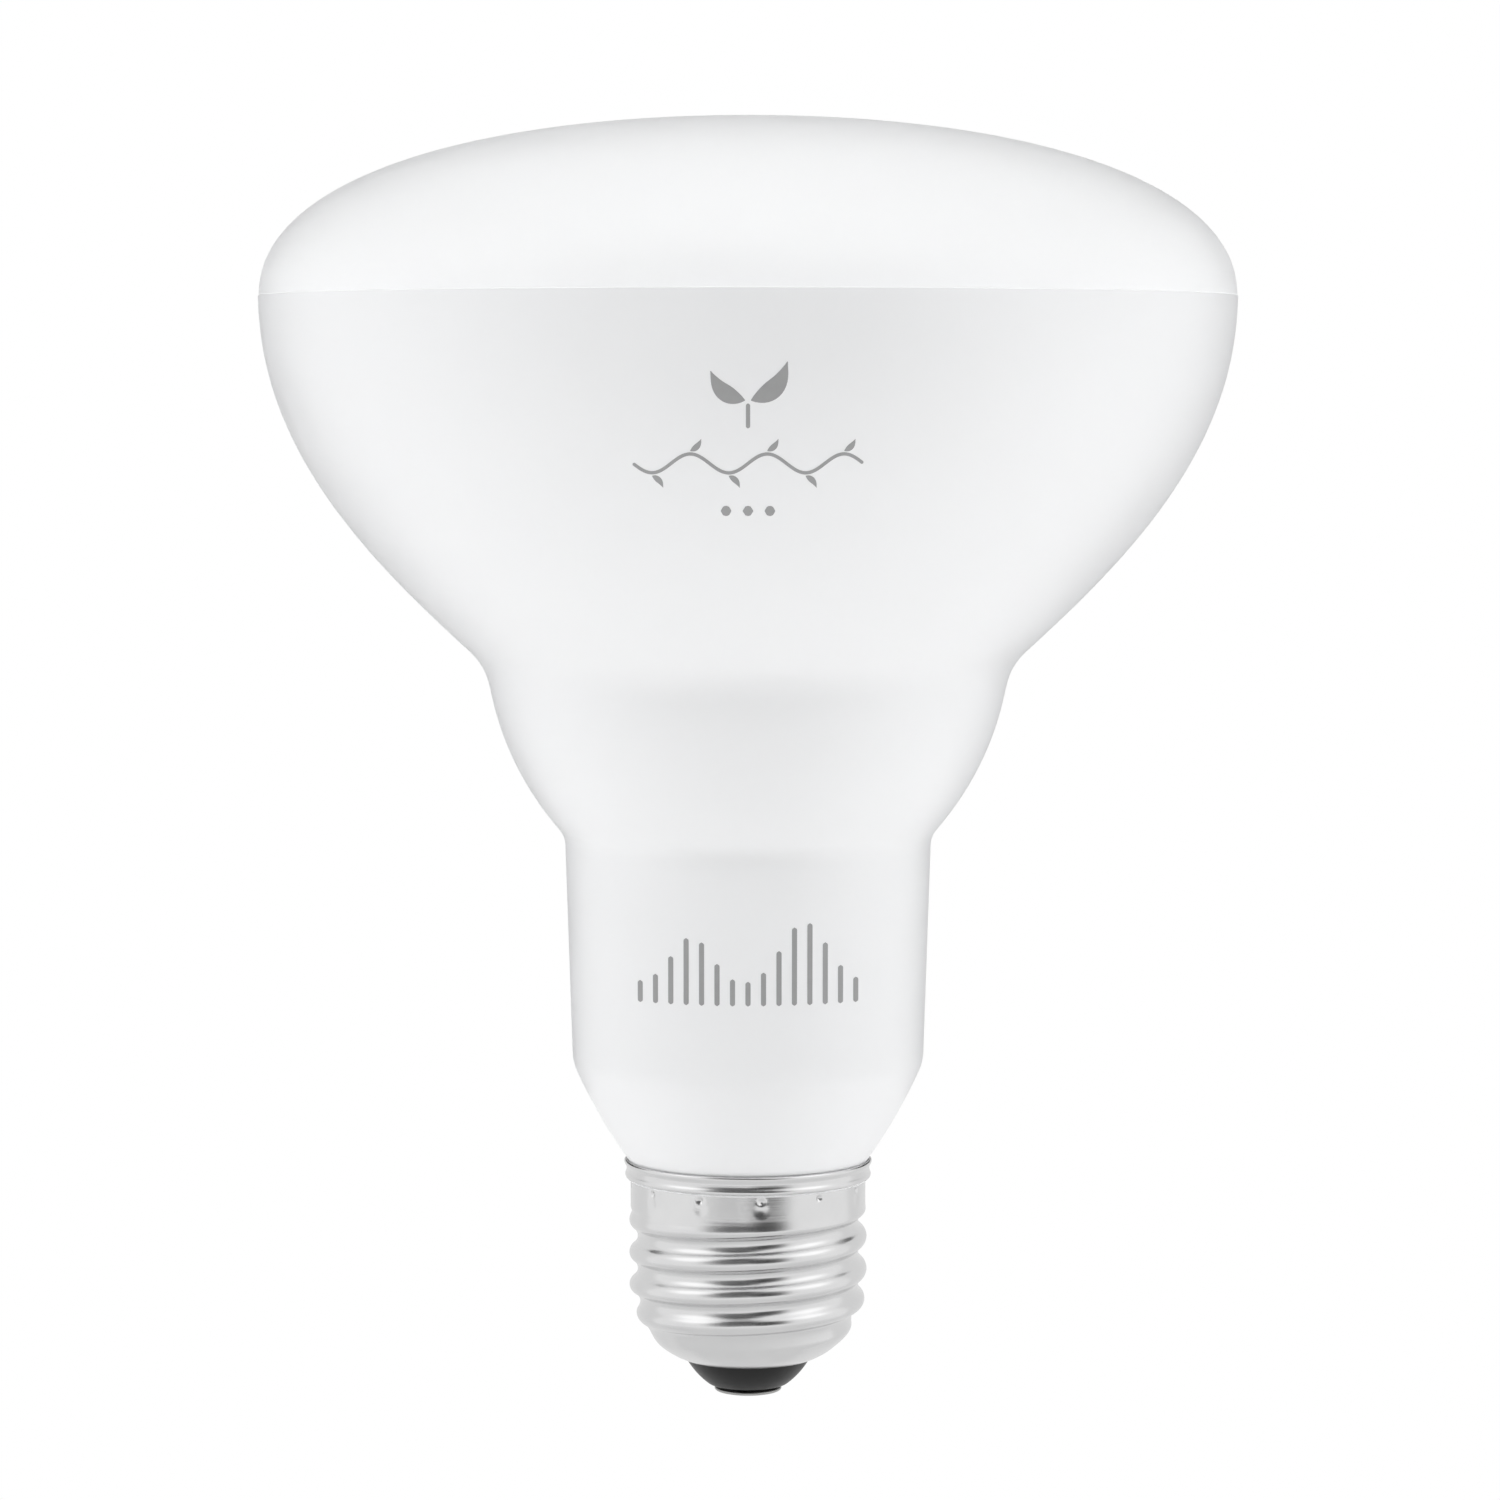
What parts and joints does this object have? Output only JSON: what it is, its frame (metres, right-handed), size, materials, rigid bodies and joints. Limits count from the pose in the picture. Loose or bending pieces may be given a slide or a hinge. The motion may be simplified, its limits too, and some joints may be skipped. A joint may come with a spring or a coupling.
{
  "type": "grow light bulb",
  "caption": "Reflector-shaped LED grow light bulb: white stepped housing, frosted shallow dome and a rolled aluminium E26 screw base with a black insulator.",
  "frame": {"origin": "centre of the small flat at the tip of the centre contact, which is the lowest point of the bulb and the plane that a lamp holder locates", "axes": "+Z along the bulb's axis, from the contact up through the screw base to the dome; X and Y square to it, -Y towards the viewer"},
  "size_m": [0.1066, 0.1066, 0.1408],
  "materials": {
    "diffuser": "frosted milky moulding, opaque when unlit",
    "housing": "satin white moulding",
    "screw_shell": "bright rolled sheet, faintly brushed round",
    "insulator": "smooth black",
    "contact": "dull tinned grey"
  },
  "bodies": {
    "root": {"diffuser": "diffuser", "housing": "housing", "screw_shell": "screw_shell", "base_insulator": "insulator", "centre_contact": "contact"}
  },
  "joints": []
}
